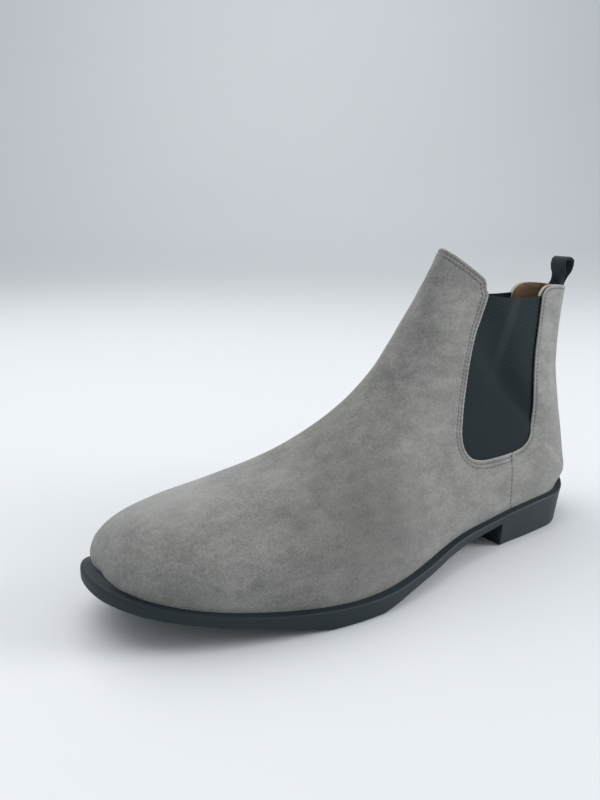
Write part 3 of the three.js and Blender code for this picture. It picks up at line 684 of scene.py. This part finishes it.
SUEDE_FINISH = suede_finish()
ELASTIC_FINISH = elastic_finish()
WEBBING_FINISH = webbing_finish()
LINING_FINISH = lining_finish()
CUT_EDGE_FINISH = cut_edge_finish()
RUBBER_FINISH = rubber_finish()
THREAD_FINISH = thread_finish()

# ---------------------------------------------------------------- upper
seam = rounded(SIDE_SEAM)
vamp_rim = rounded(GORE_FRONT[::-1] + FRONT_TOPLINE)
quarter_rim = rounded(REAR_TOPLINE[::-1] + GORE_REAR[::-1])

seam_ts = outer_line(seam, lowest=0)
seam_t = seam_ts[0, 0]


def crossing_end(line, goal):
    """A cut-off line with its last point drawn out to the ridge (s = 1) or the back (s = 0)."""
    slope = (line[-1, 0] - line[-2, 0]) / max(abs(line[-1, 1] - line[-2, 1]), 1e-6)
    reach = abs(goal - line[-1, 1])
    return np.vstack([line, [line[-1, 0] + slope * min(reach, 0.05), goal]])


vamp_rim_ts = crossing_end(outer_line(vamp_rim, highest=1), 1.0)
quarter_rim_ts = crossing_end(outer_line(quarter_rim, lowest=0)[::-1], 0.0)[::-1]
back_t = quarter_rim_ts[0, 0]


def vamp_outline():
    toe = np.column_stack([np.zeros(60), np.linspace(2, 0, 60)])
    outer = [foot_line(0, seam_t, 0), seam_ts, vamp_rim_ts]
    inner = [mirrored(vamp_rim_ts), mirrored(seam_ts), foot_line(seam_t, 0, 2)]
    return tidy_outline([*outer, *inner, toe[1:-1]])


def quarter_outline(inner):
    parts = [foot_line(seam_t, back_t, 0), quarter_rim_ts, seam_ts[::-1]]
    if inner:
        parts = [np.column_stack([p[:, 0], 2 - p[:, 1]]) for p in parts]
    return tidy_outline(parts)


def on_side(ts, inner):
    return np.column_stack([ts[:, 0], 2 - ts[:, 1]]) if inner else ts


def make_vamp():
    extra = np.vstack([ring_points(vamp_rim, 1, True), ring_points(seam, 1, True)])
    cells, faces = flat_pattern(vamp_outline(), extra)
    vamp = sewn_face(cells, faces, 0, "suede_vamp", [SUEDE_FINISH])
    rim, side = dense(vamp_rim_ts), dense(seam_ts)
    dress_edges(vamp, [([rim, mirrored(rim)], (ROW_NEAR, ROW_FAR), EDGE_ROUND, 1),
                       ([side, mirrored(side)], (ROW_SEAM,), 0.3, 0.1)], 0.3)
    apply_modifier(vamp, "SOLIDIFY", thickness=SUEDE * MM, offset=-1)
    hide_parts("vamp")


def make_quarter(inner):
    extra = np.vstack([ring_points(quarter_rim, 1, False, inner), ring_points(seam, -1, False, inner)])
    cells, faces = flat_pattern(quarter_outline(inner), extra)
    side = "medial" if inner else "lateral"
    quarter = sewn_face(cells, faces, 0, "suede_quarter_" + side, [SUEDE_FINISH])
    rim, front = (dense(on_side(line, inner)) for line in (quarter_rim_ts, seam_ts))
    dress_edges(quarter, [([rim], (ROW_NEAR,), EDGE_ROUND, 1), ([front], (), 0.3, 0.8)], 0.3)
    apply_modifier(quarter, "SOLIDIFY", thickness=SUEDE * MM, offset=-1)
    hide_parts("quarter_" + side)


def make_lining():
    """The lining behind the suede: its two parts meet under the side seams."""
    parts = [("leather_lining_vamp", vamp_outline(), "lining_vamp")]
    parts += [("leather_lining_quarter_lateral", quarter_outline(False), "lining_quarter")]
    parts += [("leather_lining_quarter_medial", quarter_outline(True), "lining_quarter")]
    for name, outline, node in parts:
        cells, faces = flat_pattern(outline, np.empty((0, 2)))
        lining = sewn_face(cells, faces, LINING_START, name, [LINING_FINISH, CUT_EDGE_FINISH])
        apply_modifier(lining, "SOLIDIFY", thickness=LINING * MM, offset=-1, material_offset_rim=1)
        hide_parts(node)


def make_gore(inner):
    side = "medial" if inner else "lateral"
    opening = rounded(GORE_FRONT + GORE_REAR[1:])
    (front_y, front_z), (rear_y, rear_z) = opening[0], opening[-1]
    share = np.linspace(0, 1, 40)[1:-1]
    hem = np.column_stack([rear_y + (front_y - rear_y) * share,
                           rear_z + (front_z - rear_z) * share - 4 * GORE_TOP_SAG * share * (1 - share)])
    whole = np.vstack([offset_line(opening, -GORE_UNDERLAP), hem])
    found = locate(whole)[:, :2]
    outline = tidy_outline([on_side(found, inner)])
    hem_ts = on_side(locate(hem)[:, :2], inner)
    extra = []
    for distance in (0.15, 0.35, 0.7, 1.3, 2.6):
        lower = locate(hem - [0, distance])[:, :2]
        extra.append(to_cells(on_side(lower, inner)))
    cells, faces = flat_pattern(outline, np.vstack(extra))
    gore = sewn_face(cells, faces, GORE_DEPTH, "elastic_gore_" + side, [ELASTIC_FINISH])
    dress_edges(gore, [([dense(hem_ts)], (), 0.45, 0)], 0)
    apply_modifier(gore, "SOLIDIFY", thickness=GORE * MM, offset=-1)
    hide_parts("gore_" + side)


make_vamp()
make_lining()
for inner in (False, True):
    make_quarter(inner)
for inner in (False, True):
    make_gore(inner)


# ---------------------------------------------------------------- stitching
def stitch_shape():
    """One stitch as points and faces: round-ended thread along X, with Z away from the suede."""
    bpy.ops.object.select_all(action="DESELECT")
    bpy.ops.mesh.primitive_uv_sphere_add(segments=6, ring_count=5, radius=0.5)
    bead = bpy.context.object
    points = np.array([v.co for v in bead.data.vertices])
    faces = [tuple(p.vertices) for p in bead.data.polygons]
    bpy.data.objects.remove(bead)
    points = points[:, [2, 0, 1]] * [STITCH_LENGTH, THREAD, THREAD]
    points[:, 2] -= 0.25 * (points[:, 0] / STITCH_LENGTH * 2) ** 2  # its ends dive into the holes
    return points, faces


STITCH_POINTS, STITCH_FACES = stitch_shape()


def make_stitching(name, rows):
    """rows are (t, s) lines on the suede's face; every stitch lies along its row."""
    points, faces = [], []
    for ts in rows:
        fine = dense(ts, 0.2)
        on_face = skin(fine[:, 0], fine[:, 1])
        by_t = skin(np.minimum(fine[:, 0] + 1e-3, 1), fine[:, 1]) - on_face
        by_s = skin(fine[:, 0], fine[:, 1] + 1e-3) - on_face
        normal = np.cross(by_s, by_t)
        normal /= np.maximum(np.linalg.norm(normal, axis=1), 1e-12)[:, None]
        if np.sum(normal * (on_face - [0, on_face[:, 1].mean(), 0])) < 0:
            normal = -normal
        length = np.concatenate([[0], np.cumsum(np.linalg.norm(np.diff(on_face, axis=0), axis=1))])
        for run_to in np.arange(STITCH_PITCH, length[-1] - STITCH_PITCH / 2, STITCH_PITCH):
            i = min(int(np.searchsorted(length, run_to)), len(length) - 2)
            up = normal[i] * (1 if normal[i] @ [np.sign(on_face[i, 0]), 0, 0] > -0.2 else -1)
            along = on_face[i + 1] - on_face[i - 1]
            along /= max(np.linalg.norm(along), 1e-9)
            side = np.cross(up, along)
            side /= max(np.linalg.norm(side), 1e-9)
            basis = np.array([along, side, up])
            faces += [tuple(k + len(points) * len(STITCH_POINTS) for k in face) for face in STITCH_FACES]
            points.append(STITCH_POINTS @ basis + on_face[i] - up * 0.12)
    thread = new_piece(name, place(np.vstack(points)), faces, [THREAD_FINISH])
    mesh = bmesh.new()
    mesh.from_mesh(thread.data)
    bmesh.ops.recalc_face_normals(mesh, faces=mesh.faces)
    mesh.to_mesh(thread.data)
    mesh.free()


def stitch_row(side_line, distance, inner):
    found = locate(offset_line(side_line, distance))
    found = found[(found[:, 2] > 0.004) & (found[:, 2] < 0.996)][:, :2]
    return on_side(found, inner)


for inner, side in ((False, "lateral"), (True, "medial")):
    make_stitching("stitching_vamp_" + side, [stitch_row(vamp_rim, ROW_NEAR, inner),
                                              stitch_row(vamp_rim, ROW_FAR, inner),
                                              stitch_row(seam, ROW_SEAM, inner)])
    make_stitching("stitching_quarter_" + side, [stitch_row(quarter_rim, ROW_NEAR, inner)])


# ---------------------------------------------------------------- sole
BREAST = SOLE_LENGTH - HEEL_LENGTH
HEEL_TIP_LIFT = 3.2  # the rear edge of the heel's tread, eased off the floor
BACK_LIP = 2.2  # the rim rises behind the heel
JOIN = 5  # the forepart runs on this far inside the heel
HEEL_CORNER = 1.0  # rounding of the heel's front corners
MITRE = 20  # the heel's front corners are mitred this far back from the breast
RIM_REACH = 9  # the rim's face runs in this far, under the upper


def band(columns, sections):
    """A grid of points: columns of (point, inward) in plan, and a section of (inset, height) for each."""
    return np.array([[(*(point + inward * inset), height) for inset, height in section]
                     for (point, inward), section in zip(columns, sections)])


def arc(centre_inset, centre_height, radius, start, end, count=5):
    angles = np.radians(np.linspace(start, end, count))
    return [(centre_inset - radius * math.cos(a), centre_height + radius * math.sin(a)) for a in angles]


def heel_lean(inward, height):
    share = max(1 - height / SEAT, 0)
    back = max(-inward[1], 0) ** 2
    return share * (HEEL_LEAN_SIDE + (HEEL_LEAN_BACK - HEEL_LEAN_SIDE) * back) * (1 - max(inward[1], 0))


def rim_section(y):
    """The ledge round the upper, from under it out to the rounded top edge."""
    rim = float(rim_at(y)) + BACK_LIP * np.clip((y - SOLE_LENGTH + 24) / 20, 0, 1) ** 2
    edge = 0.9 + 1.3 * np.clip((75 - y) / 60, 0, 1)
    inner = [(RIM_REACH, rim + 0.4), (RIM_LEDGE + 0.6, rim + 0.4), (RIM_LEDGE - 0.3, rim - 0.1)]
    inner.append((edge + 0.5, rim - 0.35))
    return inner + arc(edge, rim - 0.35 - edge, edge, 90, 0), rim


def forepart_section(point, inward):
    y = point[1]
    upper, rim = rim_section(y)
    tread = float(tread_at(y))
    lean = np.clip((y - BREAST + 22) / 20, 0, 1) ** 2
    wall = [(heel_lean(inward, z) * lean, z) for z in np.linspace(upper[-1][1] - 0.5, tread + 1.5, 4)]
    foot_inset = wall[-1][0]
    lower = [(foot_inset + i, z) for i, z in arc(1.3, tread + 1.3, 1.3, 0, -90)]
    return upper + wall + lower + [(foot_inset + 4, tread), (RIM_REACH, tread)]


def heel_section(point, inward):
    y = point[1]
    upper, rim = rim_section(y)
    lift = HEEL_TIP_LIFT * np.clip((y - (SOLE_LENGTH - 26)) / 26, 0, 1) ** 2
    radius = 1 + 2.4 * max(-inward[1], 0) ** 2
    wall = [(heel_lean(inward, z), z) for z in np.linspace(rim - 2, lift + radius + 0.3, 6)]
    foot_inset = wall[-1][0]
    lower = [(foot_inset + i, z) for i, z in arc(radius, lift + radius, radius, 0, -90)]
    return upper + wall + lower + [(foot_inset + 6, lift * 0.55), (foot_inset + 11, lift * 0.2)]


def side_columns(column, low, high):
    line, inward = PLAN[column]
    keep = (line[:, 1] >= low) & (line[:, 1] <= high)
    return list(zip(line[keep], inward[keep]))


def grid_faces(columns, rows, closed):
    wrap = columns if closed else columns - 1
    faces = []
    for i in range(wrap):
        here, there = i * rows, ((i + 1) % columns) * rows
        faces += [(here + j, there + j, there + j + 1, here + j + 1) for j in range(rows - 1)]
    return faces


def cap_faces(columns, rows, row):
    """Faces across from one side to the other, at one row of a band that is the same on both sides."""
    pairs = [(i, columns - 1 - i) for i in range(columns // 2)]
    return [(a * rows + row, (a + 1) * rows + row, (b - 1) * rows + row, b * rows + row)
            for a, b in pairs[:-1]]


def closed_up(piece):
    """Welds a swept piece, closes its last openings and turns its faces outwards."""
    mesh = bmesh.new()
    mesh.from_mesh(piece.data)
    bmesh.ops.remove_doubles(mesh, verts=mesh.verts, dist=0.01 * MM)
    bmesh.ops.holes_fill(mesh, edges=[e for e in mesh.edges if len(e.link_faces) == 1], sides=0)
    bmesh.ops.triangulate(mesh, faces=[f for f in mesh.faces if len(f.verts) > 4])
    bmesh.ops.recalc_face_normals(mesh, faces=mesh.faces)
    mesh.to_mesh(piece.data)
    mesh.free()


def make_forepart():
    outer = side_columns(1, -1, BREAST + JOIN)
    inner = side_columns(2, -1, BREAST + JOIN)
    count = min(len(outer), len(inner))
    columns = outer[:count][::-1] + inner[1:count]
    grid = band(columns, [forepart_section(p, n) for p, n in columns])
    rows = grid.shape[1]
    faces = grid_faces(len(columns), rows, False)
    faces += cap_faces(len(columns), rows, 0) + cap_faces(len(columns), rows, rows - 1)
    forepart = new_piece("rubber_outsole", place(grid.reshape(-1, 3)), faces, [RUBBER_FINISH])
    closed_up(forepart)
    return forepart


def make_heel():
    outer = side_columns(1, BREAST, SOLE_LENGTH + 1)
    inner = side_columns(2, BREAST, SOLE_LENGTH + 1)
    outer_x, inner_x = outer[0][0][0], inner[0][0][0]
    corner = HEEL_CORNER
    forward = np.array([0.0, 1.0])
    breast = [(np.array([x, BREAST]), forward) for x in np.linspace(inner_x + corner, outer_x - corner, 24)]
    turns = []
    for x, sign, order in ((inner_x, 1, 1), (outer_x, -1, -1)):
        centre = np.array([x + sign * corner, BREAST + corner])
        angles = np.radians(np.linspace(0, 90, 5)[1:-1])[::order]
        turns.append([(centre - corner * np.array([sign * math.cos(a), math.sin(a)]),
                       np.array([sign * math.cos(a), math.sin(a)])) for a in angles])
    outer = [(p, n) for p, n in outer if p[1] > BREAST + corner]
    inner = [(p, n) for p, n in inner if p[1] > BREAST + corner]
    columns = outer + inner[:-1][::-1] + turns[0] + breast + turns[1]
    grid = band(columns, [heel_section(p, n) for p, n in columns])
    # The sides and the breast meet along a mitre, so that neither comes through the other.
    front = np.array([inset for inset, _ in heel_section((0, BREAST), forward)])
    side = np.array([inset for inset, _ in heel_section((0, BREAST), -forward[::-1])])
    near = grid[:, :, 1] < BREAST + MITRE
    back_from = np.where(near, np.maximum(grid[:, :, 1], BREAST + front), grid[:, :, 1])
    for column, sign, nearer in ((1, 1, np.minimum), (2, -1, np.maximum)):
        wall = PLAN[column][0]
        wall = wall[(wall[:, 1] > BREAST - 8) & (wall[:, 1] < BREAST + 40)]
        limit = np.interp(back_from, wall[:, 1], wall[:, 0]) - sign * side
        grid[:, :, 0] = np.where(near, nearer(grid[:, :, 0], limit), grid[:, :, 0])
    grid[:, :, 1] = back_from
    rows = grid.shape[1]
    faces = grid_faces(len(columns), rows, True)
    heel = new_piece("rubber_heel", place(grid.reshape(-1, 3)), faces, [RUBBER_FINISH])
    closed_up(heel)
    return heel


forepart = make_forepart()
heel = make_heel()
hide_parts("outsole")
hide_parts("outsole")


# ---------------------------------------------------------------- sock liner
SOCK_FRONT = 14  # ends of the liner, from the toe tip
SOCK_BACK = 299.5
SOCK = 2.4
SOCK_DISH = 1.6  # its middle lies this far under its edges


def make_sock():
    """The leather-covered liner inside, its edges turned up a little against the lining."""
    depth = LINING_START + LINING + 0.1
    stations = SOCK_FRONT + (SOCK_BACK - SOCK_FRONT) * (1 - np.cos(np.linspace(0, np.pi, 120))) / 2
    found = locate(np.column_stack([stations, rim_at(stations) + SOCK_HEIGHT]), depth)
    outer = skin(found[:, 0], found[:, 1], depth)
    inner = skin(found[:, 0], 2 - found[:, 1], depth)
    shares = np.sin(np.linspace(-1, 1, 25) * np.pi / 2)
    rows = []
    for share in shares:
        across = outer + (inner - outer) * (share + 1) / 2
        across[:, 2] -= SOCK_DISH * (1 - abs(share) ** 3)
        rows.append(across)
    grid = np.array(rows)
    n, m = grid.shape[:2]
    faces = [(i * m + j, (i + 1) * m + j, (i + 1) * m + j + 1, i * m + j + 1)
             for i in range(n - 1) for j in range(m - 1)]
    sock = new_piece("leather_sock_liner", place(grid.reshape(-1, 3)), faces, [LINING_FINISH])
    mesh = bmesh.new()
    mesh.from_mesh(sock.data)
    bmesh.ops.remove_doubles(mesh, verts=mesh.verts, dist=0.01 * MM)
    bmesh.ops.recalc_face_normals(mesh, faces=mesh.faces)
    mesh.normal_update()
    if sum(f.normal.z for f in mesh.faces) < 0:
        bmesh.ops.reverse_faces(mesh, faces=mesh.faces)
    mesh.to_mesh(sock.data)
    mesh.free()
    apply_modifier(sock, "SOLIDIFY", thickness=SOCK * MM, offset=-1)
    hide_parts("sock_liner")
    return sock


sock = make_sock()

# ---------------------------------------------------------------- pull tab
BACK_ROUND = 0.15  # how fast the back of the shaft falls away to each side
SEWN_UP_TO = 138.5  # the tape follows the shaft's back up to here, and lies flat TAPE_FLATTENS higher
TAPE_FLATTENS = 7.5
TAB_PATH = [(304.1, 131), (304.9, 137), (305.1, 141), (304.3, 145), (303.1, 149), (302.8, 152),
            (303.7, 154.4), (305.8, 155.4), (308.4, 155.1), (310.5, 153.9), (310.8, 151.6), (309.6, 147.8),
            (307.7, 144), (306.5, 141), (306.2, 137), (305.4, 131)]


def make_tab():
    """One folded tape: both ends run down between the lining and the suede."""
    path = rounded(TAB_PATH, 0.5)
    along = np.gradient(path, axis=0)
    along /= np.linalg.norm(along, axis=1)[:, None]
    outward = np.column_stack([-along[:, 1], along[:, 0]])
    half, thick, soft = WEBBING_WIDTH / 2, WEBBING / 2, 0.45
    section = [(-half + soft, -thick), *((x, -thick) for x in np.linspace(-half + 1, half - 1, 9)),
               (half - soft, -thick), (half, -thick + soft), (half, thick - soft), (half - soft, thick),
               *((x, thick) for x in np.linspace(half - 1, 1 - half, 9)), (soft - half, thick),
               (-half, thick - soft), (-half, soft - thick)]
    rise = np.clip((path[:, 1] - 138) / 12, 0, 1)
    narrow = 1.08 - 0.14 * np.sin(np.pi * np.clip(rise * 1.2, 0, 1))
    grid = np.array([[(x * w, *(p + n * t)) for x, t in section] for p, n, w in zip(path, outward, narrow)])
    sewn_in = 1 - np.clip((grid[:, :, 2] - SEWN_UP_TO) / TAPE_FLATTENS, 0, 1)
    grid[:, :, 1] -= BACK_ROUND * grid[:, :, 0] ** 2 * sewn_in
    columns, rows = grid.shape[:2]
    faces = [(i * rows + j, (i + 1) * rows + j, (i + 1) * rows + (j + 1) % rows, i * rows + (j + 1) % rows)
             for i in range(columns - 1) for j in range(rows)]
    tab = new_piece("webbing_pull_tab", place(grid.reshape(-1, 3)), faces, [WEBBING_FINISH])
    closed_up(tab)
    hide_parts("pull_tab", "pull_tab_tail")
    return tab


tab = make_tab()


# ---------------------------------------------------------------- what is under the sock liner
def plain_finish(name, dark, light, scale, **constants):
    finish = Finish(name, **constants)
    speckle = finish.noise(scale, 3, 0.6)
    finish.set("Base Color", finish.mix(speckle.ramp(0.3, 0.7), dark, light))
    finish.bump(speckle, 0.3, 0.0002)
    return finish.material


INNER_FINISHES = {
    "toe_puff": plain_finish("puff_sheet", colour(0.1, 0.097, 0.09), colour(0.15, 0.145, 0.135), 700,
                             Roughness=0.8),
    "heel_counter": plain_finish("fibreboard", colour(0.2, 0.14, 0.08), colour(0.32, 0.24, 0.15), 900,
                                 Roughness=0.9),
    "heel_core": plain_finish("core_foam", colour(0.03, 0.033, 0.035), colour(0.055, 0.058, 0.06), 1200,
                              Roughness=0.9),
    "bottom_filler": plain_finish("felt", colour(0.08, 0.076, 0.07), colour(0.15, 0.145, 0.13), 1500,
                                  Roughness=1.0),
    "shank": plain_finish("spring_steel", colour(0.3, 0.31, 0.33), colour(0.4, 0.41, 0.42), 300, Metallic=1.0,
                          Roughness=0.35),
    "heel_pad": plain_finish("pad_foam", colour(0.58, 0.52, 0.38), colour(0.72, 0.66, 0.5), 1000,
                             Roughness=0.95),
}
INNER_FINISHES["insole_board"] = INNER_FINISHES["heel_counter"]
for node, piece in frame["nodes"].items():
    kind = "shank" if node.startswith(("shank", "heel_nail")) else node
    if kind in INNER_FINISHES:
        piece.data.materials.clear()
        piece.data.materials.append(INNER_FINISHES[kind])

# ---------------------------------------------------------------- riding
for piece in list(bpy.context.scene.objects):
    if "rides_on" in piece and piece is not tab:
        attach(piece, piece["rides_on"])
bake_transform(tab)

# ---------------------------------------------------------------- camera, floor and light
EYE = Vector((0.3180, -0.2600, 0.1916))
HEADING = 0.5919  # of the view, from -X towards +Y
LOOK_DOWN = 0.2385
TILT = 0.0163  # of the last's base line against the floor
ROLL = -0.0159


def camera_axes():
    level = math.cos(LOOK_DOWN)
    forward = Vector((-level * math.cos(HEADING), level * math.sin(HEADING), -math.sin(LOOK_DOWN)))
    right = Vector((math.sin(HEADING), math.cos(HEADING), 0))
    settle = Matrix.Rotation(-TILT, 3, "X")
    forward, right = settle @ forward, settle @ right
    turn = Matrix.Rotation(ROLL, 3, forward)
    return forward, turn @ right


def make_camera():
    forward, right = camera_axes()
    up = right.cross(forward)
    data = bpy.data.cameras.new("camera")
    data.lens = 36.4
    data.clip_start = 0.01
    camera = bpy.data.objects.new("camera", data)
    bpy.context.scene.collection.objects.link(camera)
    camera.matrix_world = Matrix((right, up, -forward)).transposed().to_4x4()
    camera.location = EYE
    bpy.context.scene.camera = camera
    return forward


forward = make_camera()
away = Vector((forward.x, forward.y, 0)).normalized()


def make_floor():
    """A pale sweep: the floor runs back and curves up into a wall far behind the boot."""
    finish = Finish("pale_floor", Roughness=0.5, Specular_IOR_Level=0.3)
    tone = finish.noise(1.2, 2, 0.5)
    finish.set("Base Color", finish.mix(tone, colour(0.73, 0.742, 0.758), colour(0.755, 0.767, 0.783)))
    side = Vector((away.y, -away.x, 0))
    bend, reach, height = 1.2, 2.6, 3.2
    profile = [(-4.0, 0.0), (0.0, 0.0), (reach, 0.0)]
    turns = np.linspace(0.1, math.pi / 2, 14)
    profile += [(reach + bend * math.sin(a), bend * (1 - math.cos(a))) for a in turns]
    profile += [(reach + bend, height)]
    points = [away * y + side * x + Vector((0, 0, z)) for y, z in profile for x in (-5.0, 5.0)]
    faces = [(2 * i, 2 * i + 1, 2 * i + 3, 2 * i + 2) for i in range(len(profile) - 1)]
    floor = new_piece("floor_sweep", points, faces, [finish.material])
    del floor["rides_on"]


make_floor()


def area_light(name, place_at, aim_at, size, power, tint):
    bpy.ops.object.light_add(type="AREA", location=place_at)
    light = bpy.context.object
    light.name = name
    light.data.size = size
    light.data.energy = power
    light.data.color = tint
    light.rotation_euler = (Vector(aim_at) - Vector(place_at)).to_track_quat("-Z", "Y").to_euler()


area_light("overhead_softbox", (-0.55, -0.2, 1.05), (0, -0.04, 0.03), 1.4, 10, (1.0, 0.995, 0.985))
area_light("heel_side_softbox", (0.8, 1.25, 0.65), (0, 0.1, 0.08), 0.8, 17, (1.0, 1.0, 1.0))
area_light("backdrop_softbox", away * 2.4 + Vector((0, 0, 1.9)), away * 3.8 + Vector((0, 0, 0.9)), 2.2, 12,
           (0.98, 0.99, 1.0))
world = bpy.data.worlds.new("studio")
world.use_nodes = True
world.node_tree.nodes["Background"].inputs["Color"].default_value = colour(0.9, 0.95, 1.0)
world.node_tree.nodes["Background"].inputs["Strength"].default_value = 0.58
bpy.context.scene.world = world
bpy.context.scene.view_settings.view_transform = "Standard"
